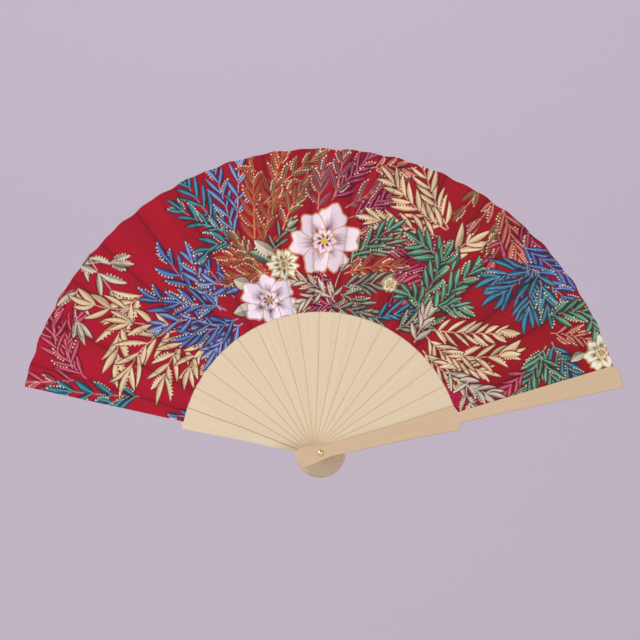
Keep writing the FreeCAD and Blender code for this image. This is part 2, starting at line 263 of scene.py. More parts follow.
def add_frond(shapes, rng, style_name, places, pairs, length, width, spread=34, start=0.12):
    """A curved stem with pairs of leaves and one at its tip. Sizes are in mm and spread in degrees."""
    style = STYLES[style_name]
    path = [spot(*place) for place in places]
    add_stem(shapes, path, 0.9, 0.5, style["line"])
    add_stem(shapes, path, 0.45, 0.25, style["vein"])
    pairs = max(1, round(pairs * style["full"]))
    leaves = []
    for pair in range(pairs):
        share = start + (0.94 - start) * pair / max(pairs - 1, 1)
        for turn in (-1, 1):
            at = min(share + turn * 0.02, 0.98)
            here, there = curve_point(path, at), curve_point(path, at + 0.01)
            heading = math.atan2(*(there - here)[::-1])
            angle = heading + turn * math.radians(spread + rng.uniform(-7, 7)) * (1.1 - 0.35 * share)
            size = (1 - 0.35 * abs(share - 0.4)) * rng.uniform(0.85, 1.12)
            leaves.append((here, angle, length * size, width * style["slim"] * rng.uniform(0.8, 1.2)))
    here, there = curve_point(path, 0.97), curve_point(path, 1.0)
    leaves.append((there, math.atan2(*(there - here)[::-1]), length * 0.9, width * style["slim"]))
    for here, angle, long, wide in leaves:
        add_leaf(shapes, rng, here, angle, long, wide, style)


def petal_points(centre, angle, reach, width, ruffle, phase, steps=24):
    """A petal that is narrow at its root, broad two thirds of the way out, and ruffled round its end."""
    direction, side = unit(angle), across(unit(angle))
    points = []
    for step in range(steps + 1):
        turn = math.tau * step / steps
        out = 0.5 - 0.5 * math.cos(turn)
        half = math.sin(turn) * (0.55 + 0.45 * out)
        wave = 1 + ruffle * math.sin(phase + 5 * turn) * out
        outward = direction * reach * (0.06 + 0.94 * out * wave)
        points.append(centre + outward + side * width * 0.56 * half * wave)
    return points


def add_petal(shapes, rng, centre, angle, reach, width, look):
    """A petal with a gold rim, a tinted edge, a shaded root and fine dark veins."""
    phase, ruffle = rng.uniform(0, 6), rng.uniform(0.07, 0.12)
    for grow, colour in ((0.5, look["rim"]), (0.0, look["edge"]), (-0.35, look["petal"])):
        points = petal_points(centre, angle, reach + grow, width + 2 * grow, ruffle, phase)
        shapes.append(Shape(points, colour))
    root, tip = centre + unit(angle) * reach * 0.15, centre + unit(angle) * reach * 0.7
    inner = petal_points(centre, angle, reach * 0.7, width * 0.5, 0.05, phase)
    shapes.append(Shape(inner, look["root"], look["petal"], root, tip))
    for vein in range(-7, 8):
        turn = angle + vein * 0.062 * width / reach
        long = reach * rng.uniform(0.45, 0.92) * (1 - 0.01 * vein * vein)
        side = across(unit(turn)) * 0.28
        start = centre + unit(turn) * reach * 0.16
        shapes.append(Shape([start + side, centre + unit(turn) * long, start - side], look["vein"]))


def add_flower(shapes, rng, place, reach, petals, look, first=90):
    """An open flower: petals, every other one on top, a small crown, stamens and a heart."""
    centre = spot(*place)
    for petal in sorted(range(petals), key=lambda number: number % 2):
        angle = math.radians(first + 360 * petal / petals + rng.uniform(-5, 5))
        long = reach * rng.uniform(0.9, 1.08)
        add_petal(shapes, rng, centre, angle, long, long * 4.9 / petals, look)
    for petal in range(7):
        angle = math.tau * petal / 7
        add_petal(shapes, rng, centre, angle, reach * 0.36, reach * 0.26, look)
    heart = [centre + unit(math.tau * n / 10) * reach * 0.1 for n in range(10)]
    shapes.append(Shape(heart, look["heart"]))
    for dot in range(15):
        out = reach * (0.2 if dot % 2 else 0.3)
        colour = look["heart"] if dot % 3 else GOLD
        add_dot(shapes, centre + unit(math.tau * dot / 15) * out, 0.42, colour)


FLOWERS = {
    "white": dict(rim=linear(214, 170, 96), edge=linear(168, 60, 96), petal=linear(230, 212, 220),
                  root=linear(190, 150, 168), vein=linear(96, 24, 70), heart=linear(206, 176, 60)),
    "lilac": dict(rim=linear(206, 170, 116), edge=linear(140, 76, 112), petal=linear(232, 216, 228),
                  root=linear(180, 150, 166), vein=linear(92, 50, 92), heart=linear(190, 136, 70)),
    "ivory": dict(rim=linear(206, 172, 100), edge=linear(110, 84, 50), petal=linear(232, 228, 206),
                  root=linear(196, 180, 130), vein=linear(92, 76, 48), heart=linear(196, 160, 70)),
}

# Style, path as three (angle, height) places, pairs of leaves, leaf length and width in mm, and for
# some the spread of the leaves from the stem in degrees. A later frond lies over an earlier one.
FRONDS = [
    ("rose", ((162.6, 0.64), (160.5, 0.80), (155.0, 1.00)), 6, 21, 3.4),
    ("rose", ((161.4, 0.74), (157.0, 0.86), (151.5, 0.84)), 5, 18, 3.2),
    ("rose", ((160.0, 0.84), (155.0, 0.98), (149.0, 0.99)), 5, 17, 3.2),
    ("rose", ((163.6, 0.70), (165.5, 0.84), (166.5, 1.00)), 4, 15, 3.0),
    ("plum", ((165.0, 0.80), (166.0, 0.90), (166.6, 0.98)), 2, 11, 3.0),
    ("teal", ((163.0, 0.31), (165.4, 0.50), (166.4, 0.72)), 4, 20, 4.6),
    ("teal", ((162.9, 0.30), (165.0, 0.40), (167.0, 0.46)), 2, 18, 4.6),
    ("pearl", ((146.0, 0.93), (149.5, 0.90), (152.0, 0.82)), 3, 18, 5.0),
    ("pearl", ((139.6, 1.02), (141.0, 0.90), (142.4, 0.74)), 4, 20, 4.8),
    ("pearl", ((143.0, 1.02), (140.0, 0.96), (137.6, 0.86)), 3, 17, 4.6),
    ("cream", ((137.6, 0.58), (144.0, 0.68), (155.0, 0.51)), 7, 24, 5.4),
    ("cream", ((143.0, 0.60), (146.0, 0.68), (147.0, 0.80)), 3, 20, 5.4),
    ("cream", ((139.2, 0.28), (147.0, 0.44), (156.4, 0.41)), 6, 24, 5.2),
    ("cream", ((139.5, 0.30), (142.5, 0.42), (146.0, 0.56)), 4, 19, 5.0),
    ("cream", ((136.0, 0.22), (146.0, 0.24), (154.5, 0.20)), 6, 22, 5.0),
    ("cream", ((136.0, 0.12), (143.0, 0.12), (147.5, 0.09)), 4, 17, 4.8),
    ("cream", ((136.5, 0.10), (140.0, 0.07), (142.0, 0.02)), 2, 14, 4.6),
    ("sky", ((121.0, 0.06), (129.0, 0.06), (135.5, 0.03)), 6, 19, 3.4),
    ("blue", ((121.5, 0.10), (130.0, 0.12), (137.5, 0.20)), 7, 19, 3.6),
    ("blue", ((129.0, 0.14), (134.5, 0.26), (136.8, 0.50)), 6, 20, 3.8),
    ("sky", ((133.0, 0.26), (137.0, 0.32), (141.0, 0.37)), 4, 15, 3.6),
    ("blue", ((123.6, 0.18), (129.5, 0.42), (128.4, 0.62)), 6, 20, 4.0),
    ("sky", ((125.0, 0.20), (126.0, 0.38), (124.0, 0.54)), 6, 18, 3.8),
    ("blue", ((124.5, 0.22), (129.0, 0.30), (133.4, 0.40)), 5, 17, 3.4),
    ("blue", ((119.0, 0.22), (121.0, 0.34), (121.4, 0.46)), 4, 16, 3.6),
    ("sky", ((114.0, 0.24), (118.0, 0.30), (122.4, 0.36)), 4, 15, 3.4),
    ("lagoon", ((112.0, 0.50), (115.4, 0.70), (116.6, 0.97)), 8, 18, 3.4),
    ("teal", ((113.6, 0.62), (117.5, 0.70), (119.8, 0.84)), 5, 15, 3.2),
    ("teal", ((111.5, 0.49), (115.0, 0.58), (119.0, 0.55)), 5, 16, 3.6),
    ("sky", ((111.4, 0.54), (111.2, 0.78), (110.6, 0.99)), 7, 17, 3.2),
    ("sky", ((109.6, 0.66), (107.6, 0.80), (105.8, 0.97)), 5, 15, 3.0),
    ("coral", ((108.0, 0.44), (105.4, 0.66), (104.0, 0.84)), 7, 17, 3.4),
    ("coral", ((106.0, 0.40), (103.0, 0.60), (100.6, 0.76)), 6, 17, 3.6),
    ("coral", ((101.4, 0.62), (100.0, 0.82), (97.0, 1.00)), 7, 17, 3.2),
    ("olive", ((102.6, 0.70), (96.0, 0.86), (91.4, 0.93)), 6, 16, 3.2),
    ("coral", ((102.0, 0.70), (96.0, 0.74), (92.4, 0.80)), 5, 15, 3.0),
    ("olive", ((99.6, 0.52), (97.0, 0.66), (94.6, 0.72)), 4, 14, 3.2),
    ("coral", ((103.0, 0.90), (104.6, 0.95), (102.6, 1.02)), 3, 14, 3.0),
    ("coral", ((106.6, 0.30), (110.5, 0.40), (114.6, 0.44)), 6, 15, 3.2),
    ("coral", ((106.0, 0.28), (110.0, 0.31), (115.4, 0.33)), 5, 15, 3.4),
    ("olive", ((108.4, 0.34), (110.6, 0.44), (111.4, 0.52)), 4, 12, 2.8),
    ("sage", ((103.0, 0.40), (101.4, 0.48), (98.6, 0.52)), 3, 12, 3.2),
    ("plum", ((90.6, 0.62), (90.4, 0.74), (89.6, 0.84)), 4, 16, 3.2),
    ("magenta", ((87.4, 0.68), (84.6, 0.82), (80.2, 0.98)), 7, 17, 3.4),
    ("plum", ((87.0, 0.70), (85.6, 0.86), (85.6, 0.98)), 4, 15, 3.2),
    ("plum", ((84.2, 0.64), (79.0, 0.76), (74.6, 0.84)), 7, 16, 3.0),
    ("magenta", ((83.0, 0.58), (78.4, 0.66), (75.0, 0.76)), 6, 16, 3.2),
    ("salmon", ((80.0, 0.90), (76.4, 0.96), (73.6, 0.94)), 4, 12, 2.8),
    ("magenta", ((82.0, 0.48), (77.0, 0.50), (72.6, 0.56)), 5, 16, 3.2),
    ("cream", ((60.2, 0.71), (65.0, 0.80), (70.6, 1.00)), 8, 18, 4.2, 38),
    ("cream", ((60.4, 0.70), (67.0, 0.70), (74.6, 0.84)), 8, 18, 4.2, 38),
    ("cream", ((61.0, 0.64), (69.0, 0.62), (76.4, 0.60)), 7, 17, 4.4, 36),
    ("cream", ((57.0, 0.50), (56.6, 0.62), (55.0, 0.70)), 3, 20, 6.0),
    ("magenta", ((73.0, 0.42), (67.0, 0.50), (61.0, 0.56)), 7, 15, 3.2),
    ("magenta", ((71.0, 0.30), (65.0, 0.40), (58.0, 0.37)), 7, 15, 3.2),
    ("rose", ((70.0, 0.20), (65.0, 0.30), (57.4, 0.32)), 6, 15, 3.2),
    ("magenta", ((66.0, 0.10), (64.0, 0.20), (60.0, 0.22)), 4, 14, 3.0),
    ("sage", ((82.4, 0.26), (77.6, 0.42), (72.0, 0.48)), 7, 16, 3.2),
    ("emerald", ((81.0, 0.34), (77.0, 0.46), (73.0, 0.56)), 5, 15, 3.4),
    ("coral", ((82.4, 0.24), (76.0, 0.32), (68.6, 0.36)), 6, 13, 2.6),
    ("sage", ((83.0, 0.16), (77.0, 0.20), (70.0, 0.24)), 6, 16, 3.4),
    ("sage", ((84.0, 0.12), (76.0, 0.10), (68.4, 0.03)), 6, 15, 3.4),
    ("sage", ((88.0, 0.03), (81.0, 0.04), (74.0, 0.03)), 5, 12, 3.0),
    ("magenta", ((86.6, 0.20), (88.6, 0.16), (91.0, 0.24)), 3, 14, 4.0),
    ("magenta", ((84.0, 0.03), (88.0, 0.06), (92.0, 0.02)), 4, 13, 3.6),
    ("pearl", ((84.4, 0.06), (90.6, 0.18), (98.6, 0.20)), 7, 13, 2.8),
    ("pearl", ((88.4, 0.12), (94.0, 0.10), (99.0, 0.04)), 5, 12, 2.8),
    ("pearl", ((85.4, 0.08), (85.0, 0.20), (83.4, 0.26)), 3, 11, 2.6),
    ("emerald", ((53.0, 0.50), (58.5, 0.54), (64.0, 0.55)), 6, 18, 4.4, 48),
    ("emerald", ((53.4, 0.08), (56.4, 0.30), (57.6, 0.54)), 8, 17, 4.0),
    ("emerald", ((50.6, 0.06), (52.0, 0.30), (50.0, 0.60)), 9, 17, 4.0),
    ("emerald", ((52.0, 0.28), (49.0, 0.34), (46.0, 0.36)), 4, 14, 3.6),
    ("lagoon", ((68.0, 0.02), (64.0, 0.10), (58.6, 0.12)), 5, 15, 3.4),
    ("sage", ((58.4, 0.02), (56.0, 0.10), (52.6, 0.12)), 5, 15, 3.4),
    ("emerald", ((54.6, 0.18), (57.4, 0.26), (60.6, 0.24)), 4, 15, 3.6),
    ("pearl", ((49.6, 0.02), (51.0, 0.10), (52.4, 0.18)), 4, 15, 4.0),
    ("olive", ((58.8, 1.02), (59.0, 0.94), (59.4, 0.88)), 2, 15, 3.4, 18),
    ("salmon", ((55.4, 1.02), (55.2, 0.94), (55.6, 0.86)), 2, 16, 3.6, 18),
    ("olive", ((53.6, 1.02), (51.4, 0.90), (50.8, 0.80)), 4, 17, 3.4, 24),
    ("salmon", ((53.4, 1.00), (48.6, 0.90), (43.6, 0.82)), 7, 18, 4.0, 30),
    ("rose", ((49.4, 0.84), (48.8, 0.78), (48.6, 0.74)), 2, 14, 3.6),
    ("magenta", ((49.0, 1.02), (46.0, 0.98), (43.0, 0.94)), 4, 14, 3.6),
    ("blue", ((46.4, 0.90), (41.0, 0.92), (35.0, 1.00)), 7, 17, 3.6),
    ("blue", ((43.6, 0.84), (38.0, 0.86), (32.4, 0.90)), 6, 16, 3.4),
    ("lagoon", ((41.6, 0.84), (43.6, 0.74), (44.6, 0.66)), 5, 20, 4.4),
    ("lagoon", ((41.2, 0.84), (40.6, 0.72), (41.2, 0.62)), 5, 20, 4.4),
    ("lagoon", ((40.6, 0.84), (37.4, 0.76), (34.6, 0.68)), 7, 20, 4.2),
    ("teal", ((40.0, 0.86), (36.0, 0.82), (32.4, 0.78)), 5, 17, 3.8),
    ("salmon", ((27.4, 0.72), (25.4, 0.84), (21.8, 0.94)), 6, 14, 3.4),
    ("emerald", ((31.2, 0.76), (29.6, 0.88), (27.4, 1.02)), 6, 16, 4.0),
    ("emerald", ((26.6, 0.98), (24.0, 0.96), (21.6, 1.00)), 4, 12, 3.4),
    ("teal", ((25.6, 0.70), (21.0, 0.70), (16.8, 0.76)), 6, 16, 3.8),
    ("emerald", ((25.4, 0.66), (22.0, 0.56), (17.0, 0.44)), 7, 17, 3.8),
    ("emerald", ((24.0, 0.60), (20.0, 0.62), (16.8, 0.62)), 4, 14, 3.4),
    ("rose", ((21.6, 0.48), (20.6, 0.40), (18.0, 0.32)), 4, 11, 3.2),
    ("cream", ((48.6, 0.14), (40.0, 0.26), (34.0, 0.44)), 8, 15, 3.8, 42),
    ("cream", ((48.6, 0.10), (37.0, 0.08), (27.0, 0.24)), 9, 16, 3.8, 36),
    ("cream", ((36.0, 0.16), (30.0, 0.26), (28.2, 0.42)), 5, 16, 4.2, 32),
    ("cream", ((45.0, 0.02), (36.0, 0.02), (30.0, 0.06)), 6, 13, 3.4),
    ("pearl", ((34.0, 0.06), (24.6, 0.10), (19.6, 0.22)), 7, 15, 3.8),
    ("pearl", ((26.0, 0.14), (22.0, 0.08), (18.0, 0.10)), 4, 14, 3.4),
    ("blue", ((164.6, -0.04), (165.4, 0.00), (165.6, 0.03)), 1, 10, 4.0),
]

# Look, place, reach in mm, petals, angle of the first petal
BLOOMS = [
    ("lilac", (108.6, 0.12), 18.5, 6, 100),
    ("ivory", (101.0, 0.31), 10.5, 9, 70),
    ("white", (89.0, 0.43), 24.0, 6, 65),
    ("ivory", (19.6, 0.955), 12.0, 7, 40),
    ("ivory", (67.6, 0.25), 5.0, 5, 10),
]

# Broad pale leaves round the flowers: style, base place, place of the tip, width in mm
SINGLE_LEAVES = [
    ("pearl", (113.0, 0.24), (116.8, 0.32), 9.0),
    ("pearl", (114.4, 0.12), (122.0, 0.14), 9.0),
    ("sage", (104.6, 0.34), (109.6, 0.44), 7.0),
    ("pearl", (103.0, 0.38), (107.4, 0.50), 8.0),
    ("pearl", (20.6, 0.86), (20.0, 0.76), 6.0),
    ("cream", (34.2, 0.46), (30.8, 0.56), 4.6),
    ("cream", (28.8, 0.38), (29.4, 0.54), 5.2),
    ("cream", (28.4, 0.38), (26.2, 0.50), 4.8),
]


def make_print():
    """Every patch of the pattern, the lowest first, in mm in the fan's plane."""
    rng, shapes = random.Random(SEED), []
    for style, places, pairs, length, width, *spread in FRONDS:
        add_frond(shapes, rng, style, places, pairs, length, width, *spread)
    for style, base, tip, width in SINGLE_LEAVES:
        start, way = spot(*base), spot(*tip) - spot(*base)
        angle, length = math.atan2(way[1], way[0]), np.linalg.norm(way)
        add_leaf(shapes, rng, start, angle, length, width, STYLES[style])
    for look, place, reach, petals, first in BLOOMS:
        add_flower(shapes, rng, place, reach, petals, FLOWERS[look], first)
    return shapes


def polar(places):
    """The angle about the rivet and the distance from it of flat places."""
    return np.arctan2(places[:, 1], places[:, 0]), np.hypot(places[:, 0], places[:, 1])


def ground_colours(places):
    """The plain cloth: brighter on the left and deeper on the right, partly its own colour and partly
    painted light and shade, and pink at its inner edge there.
    """
    angle, radius = polar(places)
    angle = np.degrees(angle)
    share = np.clip((angle - 15) / 150, 0, 1)[:, None] ** 1.5
    colour = np.array(GROUND_RIGHT) + (np.array(GROUND_LEFT) - np.array(GROUND_RIGHT)) * share
    pink = np.exp(-(((angle - 22) / 9) ** 2) - ((radius - INNER) / 16) ** 2)[:, None]
    return colour + (np.array(GROUND_PINK) - colour) * pink


def inside(outline, places):
    """Which places lie inside a closed outline: those with an odd number of its edges to their right."""
    x, height = places[:, :1], places[:, 1:]
    start, end = outline, np.roll(outline, -1, axis=0)
    crosses = (start[:, 1] > height) != (end[:, 1] > height)
    rise = end[:, 1] - start[:, 1]
    rise[rise == 0] = 1
    meets = start[:, 0] + (height - start[:, 1]) * (end[:, 0] - start[:, 0]) / rise
    return (crosses & (x < meets)).sum(axis=1) % 2 == 1


class Canvas:
    """The flat cloth as a fine square grid of colours, which the shapes are painted on in order."""

    def __init__(self, low, high, cell):
        """Plain cloth between two corners."""
        self.low, self.cell = np.array(low, float), cell
        self.size = np.ceil((np.array(high) - self.low) / cell).astype(int) + 1
        self.colours = ground_colours(self.places(np.zeros(2, int), self.size)).reshape(*self.size, 3)

    def places(self, first, last):
        """The places of a block of the grid, one row each."""
        sides = [self.low[n] + self.cell * np.arange(first[n], last[n]) for n in (0, 1)]
        return np.stack(np.meshgrid(*sides, indexing="ij"), axis=2).reshape(-1, 2)

    def paint(self, shape):
        """Colours the places that a shape covers."""
        first = np.floor((shape.points.min(0) - self.low) / self.cell).astype(int)
        last = np.ceil((shape.points.max(0) - self.low) / self.cell).astype(int) + 1
        first, last = np.clip(first, 0, self.size), np.clip(last, 0, self.size)
        if (last <= first).any():
            return
        places = self.places(first, last)
        covered = inside(shape.points, places)
        block = self.colours[first[0] : last[0], first[1] : last[1]].reshape(-1, 3)
        block[covered] = shape.colours_at(places[covered])
        self.colours[first[0] : last[0], first[1] : last[1]] = block.reshape(*(last - first), 3)

    def soften(self):
        """Blends each colour a little with its neighbours', as ink spreads in cloth."""
        for axis in (0, 1):
            around = np.roll(self.colours, 1, axis) + np.roll(self.colours, -1, axis)
            self.colours = self.colours * 0.5 + around * 0.25

    def colours_at(self, places):
        """The colours at any places, blended between the four nearest of the grid."""
        at = (places - self.low) / self.cell
        first = np.clip(np.floor(at).astype(int), 0, self.size - 2)
        share = np.clip(at - first, 0, 1)
        total = np.zeros((len(places), 3))
        for right in (0, 1):
            for up in (0, 1):
                weight = np.abs(1 - right - share[:, 0]) * np.abs(1 - up - share[:, 1])
                total += self.colours[first[:, 0] + right, first[:, 1] + up] * weight[:, None]
        return total


def painted_canvas():
    """The whole leaf laid flat, with its print."""
    canvas = Canvas((-OUTER - 2, 10), (OUTER + 2, OUTER + 2), CELL)
    for shape in make_print():
        canvas.paint(shape)
    canvas.soften()
    return canvas


# ---------------------------------------------------------------- the pleated leaf


# One panel or fold: the node it stands for, its body, the angles of its sides and, for each side, the
# depth of the cloth's front as (depth at the rivet, slope outwards). All in mm and radians.
LeafPiece = namedtuple("LeafPiece", "name body left right left_line right_line")


def edge_lines(node):
    """A CAD panel's middle angle, and its left and right sides' (depth at the rivet, slope outwards)."""
    points = np.array([v.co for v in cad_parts[node].data.vertices]) / MM
    angle, radius = np.arctan2(points[:, 2], points[:, 0]), np.hypot(points[:, 0], points[:, 2])
    low, left = radius < radius.mean(), angle > angle.mean()
    lines = []
    for side in (left, ~left):
        ends = []
        for part in (side & low, side & ~low):
            ends.append((radius[part].mean(), points[part, 1].min()))
        (near, near_depth), (far, far_depth) = ends
        slope = (far_depth - near_depth) / (far - near)
        lines.append((near_depth - slope * near, slope))
    return angle.mean(), lines[0], lines[1]


def leaf_pieces():
    """Every panel and fold of the leaf, from left to right."""
    panels = [edge_lines(f"leaf_panel_{n:02d}") for n in range(STICKS)]
    half = (panels[0][0] - panels[-1][0]) / (STICKS - 1) / 4
    pieces = []
    for n, (middle, left, right) in enumerate(panels):
        name = f"leaf_panel_{n:02d}"
        pieces.append(LeafPiece(name, STICK_NAMES[n], middle + half, middle - half, left, right))
        if n + 1 < STICKS:
            name = f"leaf_fold_{n:02d}"
            next_middle, next_left, _ = panels[n + 1]
            pieces.append(LeafPiece(name, name, middle - half, next_middle + half, right, next_left))
    return pieces


def outer_edge(angle):
    """The leaf's outer radius, cut very slightly uneven from fold to fold."""
    return OUTER - UNEVEN + UNEVEN * math.sin(angle * 61) * math.sin(angle * 17 + 1)


def depth_at(piece, places, bow):
    """Depth in mm of the leaf's front surface over flat places. Between its sides it swells by bow."""
    angle, radius = polar(places)
    share = np.clip((piece.left - angle) / (piece.left - piece.right), 0, 1)
    first = piece.left_line[0] + piece.left_line[1] * radius
    last = piece.right_line[0] + piece.right_line[1] * radius
    rise = (radius - INNER) / (OUTER - INNER)
    swell = bow * np.sin(math.pi * share) * (0.4 + 0.6 * rise)
    return first + (last - first) * share + swell


def normals_at(piece, places, bow):
    """Front normals of the leaf, from how its depth changes."""
    step = 0.2
    middle = inward(piece, places)
    slopes = []
    for axis in (np.array([step, 0]), np.array([0, step])):
        change = depth_at(piece, middle + axis, bow) - depth_at(piece, middle - axis, bow)
        slopes.append(change / (2 * step))
    normal = np.stack([slopes[0], -np.ones(len(places)), slopes[1]], axis=1)
    return normal / np.linalg.norm(normal, axis=1)[:, None]


def inward(piece, places):
    """The places moved just inside the piece, so that a slope taken there doesn't cross a fold."""
    angle, radius = polar(places)
    margin = 0.35 / radius
    angle = np.clip(angle, piece.right + margin, piece.left - margin)
    return np.stack([np.cos(angle), np.sin(angle)], axis=1) * radius[:, None]


def grid_places(piece, rows, columns):
    """Flat places in a grid over a piece, from its inner edge outwards and from left to right."""
    angles = np.linspace(piece.left, piece.right, columns + 1)
    outer = np.array([outer_edge(angle) for angle in angles])
    radius = INNER + (outer - INNER) * np.linspace(0, 1, rows + 1)[:, None]
    return np.stack([np.cos(angles) * radius, np.sin(angles) * radius], axis=2).reshape(-1, 2)


def grid_faces(numbers):
    """The four-sided faces of a grid of vertex numbers, facing the front."""
    corners = [numbers[:-1, :-1], numbers[:-1, 1:], numbers[1:, 1:], numbers[1:, :-1]]
    return np.stack(corners, axis=2).reshape(-1, 4)


def border(numbers):
    """The four sides of a grid of vertex numbers, walked the way its faces turn."""
    return [numbers[0], numbers[:, -1], numbers[-1, ::-1], numbers[::-1, 0]]


def rim_faces(front, back):
    """Faces that join the border of the fine front grid to that of the coarser back one."""
    faces = []
    for near, far in zip(border(front), border(back)):
        step = (len(near) - 1) // (len(far) - 1)
        for n in range(len(far) - 1):
            run = near[n * step : (n + 1) * step + 1]
            faces.append([*run[::-1].tolist(), int(far[n]), int(far[n + 1])])
    return faces


def leaf_mesh(name, front, back):
    """A closed thin mesh from the front and back grids of places in the fan."""
    near = np.arange(len(front)).reshape(ROWS + 1, COLUMNS + 1)
    far = np.arange(len(back)).reshape(BACK_ROWS + 1, BACK_COLUMNS + 1) + len(front)
    faces = grid_faces(near).tolist() + grid_faces(far)[:, ::-1].tolist() + rim_faces(near, far)
    mesh = bpy.data.meshes.new(name)
    mesh.from_pydata((np.concatenate([front, back]) * MM).tolist(), [], faces)
    return mesh


def fold_distances(piece, places):
    """How far places are from the piece's valley fold and from its ridge fold, in mm."""
    angle, radius = polar(places)
    from_left, from_right = (piece.left - angle) * radius, (angle - piece.right) * radius
    return (from_right, from_left) if "panel" in piece.name else (from_left, from_right)


def crease_shade(piece, places):
    """How bright the cloth is: a painted highlight along a ridge fold, and painted shade down in a
    valley fold.
    """
    valley, ridge = fold_distances(piece, places)
    soft_shadow = 0.2 * np.exp(-valley / 3.0)
    sharp_shadow = 0.22 * np.exp(-((valley / 0.7) ** 2))
    # A painted highlight along the ridge fold.
    ridge_highlight = 0.1 * np.exp(-((ridge / 0.6) ** 2))
    return 1 - sharp_shadow - soft_shadow + ridge_highlight


def thickness_at(piece, places):
    """Thickness of the cloth, thin next to its ridge fold so that the backs can lie together."""
    _, ridge = fold_distances(piece, places)
    return CLOTH * np.clip(ridge / PINCH_LENGTH, PINCH_SHARE, 1)


def make_leaf_piece(piece, canvas, material, rng):
    """One panel or fold of the leaf: a printed front, a faded back, and a thin rim."""
    bow = rng.uniform(-0.05, 0.02) if "panel" in piece.name else rng.uniform(-0.2, 0.05)
    layers, normals, colours = [], [], []
    for rows, columns, facing in ((ROWS, COLUMNS, 1), (BACK_ROWS, BACK_COLUMNS, -1)):
        places = grid_places(piece, rows, columns)
        depth = depth_at(piece, places, bow)
        if facing < 0:
            depth += thickness_at(piece, places)
        layers.append(np.stack([places[:, 0], depth, places[:, 1]], axis=1))
        normals.append(normals_at(piece, places, bow) * facing)
        colours.append(canvas.colours_at(places) * crease_shade(piece, places)[:, None])
    colours[1] = colours[1] * 0.3 + np.array(BACK_COLOUR) * 0.7
    mesh = leaf_mesh("printed_" + piece.name, *layers)
    add_print(mesh, np.concatenate(colours))
    add_flat_map(mesh)
    mesh.normals_split_custom_set_from_vertices(np.concatenate(normals).tolist())
    mesh.materials.append(material)
    place_leaf_piece(piece, mesh)


def add_print(mesh, colours):
    """Gives each point of the mesh its printed colour."""
    layer = mesh.color_attributes.new("Print", "FLOAT_COLOR", "POINT")
    opaque = np.ones((len(mesh.vertices), 1))
    layer.data.foreach_set("color", np.hstack([colours, opaque]).reshape(-1))


def add_flat_map(mesh):
    """A flat map of the cloth, in the fan's plane, with the leaf well inside the unit square."""
    layer = mesh.uv_layers.new(name="Cloth")
    places = np.zeros(len(mesh.vertices) * 3)
    mesh.vertices.foreach_get("co", places)
    places = places.reshape(-1, 3)[:, [0, 2]] / 0.45 + [0.5, 0.1]
    corners = np.zeros(len(mesh.loops), int)
    mesh.loops.foreach_get("vertex_index", corners)
    layer.data.foreach_set("uv", places[corners].reshape(-1))


def place_leaf_piece(piece, mesh):
    made = bpy.data.objects.new("printed_" + piece.name, mesh)
    bpy.context.scene.collection.objects.link(made)
    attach(made, piece.body)
    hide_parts(piece.name)


# ---------------------------------------------------------------- materials


RELIEF = 0.0001  # height of the weave and of the grain, in m


def new_material(name):
    """A new material, its nodes, its links and its surface shader."""
    material = bpy.data.materials.new(name)
    material.use_nodes = True
    nodes = material.node_tree.nodes
    return material, nodes, material.node_tree.links, nodes["Principled BSDF"]


def add_node(nodes, kind, values):
    """A new node with some of its inputs set."""
    node = nodes.new(kind)
    for name, value in values.items():
        node.inputs[name].default_value = value
    return node


def add_relief(nodes, links, shader, height, strength):
    """Raises the surface very slightly where height is large."""
    bump = add_node(nodes, "ShaderNodeBump", {"Strength": strength, "Distance": RELIEF})
    links.new(height, bump.inputs["Height"])
    links.new(bump.outputs["Normal"], shader.inputs["Normal"])


def cloth_material():
    """Printed cotton: the pattern's own colours, a little cloudy, under a fine weave."""
    material, nodes, links, shader = new_material("printed_cotton")
    place = nodes.new("ShaderNodeTexCoord")
    weave = add_node(nodes, "ShaderNodeTexNoise", {"Scale": 2200, "Detail": 2})
    links.new(place.outputs["Object"], weave.inputs["Vector"])
    cloud = add_node(nodes, "ShaderNodeTexNoise", {"Scale": 45, "Detail": 3})
    links.new(place.outputs["Object"], cloud.inputs["Vector"])
    tone = add_node(nodes, "ShaderNodeMapRange", {"To Min": 0.93, "To Max": 1.07})
    links.new(cloud.outputs["Fac"], tone.inputs["Value"])
    colour = nodes.new("ShaderNodeVertexColor")
    colour.layer_name = "Print"
    shade = nodes.new("ShaderNodeVectorMath")
    shade.operation = "SCALE"
    links.new(colour.outputs["Color"], shade.inputs[0])
    links.new(tone.outputs["Result"], shade.inputs["Scale"])
    links.new(shade.outputs["Vector"], shader.inputs["Base Color"])
    add_relief(nodes, links, shader, weave.outputs["Fac"], 0.12)
    shader.inputs["Roughness"].default_value = 0.62
    shader.inputs["Specular IOR Level"].default_value = 0.18
    return material


def grain_pattern(nodes, links, turn):
    """Noise drawn out along a stick that lies at the angle turn, different on each stick."""
    place = nodes.new("ShaderNodeTexCoord")
    aim = add_node(nodes, "ShaderNodeMapping", {"Rotation": (0, turn, 0)})
    links.new(place.outputs["Object"], aim.inputs["Vector"])
    stretch = add_node(nodes, "ShaderNodeVectorMath", {1: (14, 700, 520)})
    stretch.operation = "MULTIPLY"
    links.new(aim.outputs["Vector"], stretch.inputs[0])
    shift = add_node(nodes, "ShaderNodeVectorMath", {1: (turn * 31, turn * 17, turn * 23)})
    shift.operation = "ADD"
    links.new(stretch.outputs["Vector"], shift.inputs[0])
    grain = add_node(nodes, "ShaderNodeTexNoise", {"Scale": 1, "Detail": 4})
    links.new(shift.outputs["Vector"], grain.inputs["Vector"])
    return grain.outputs["Fac"]


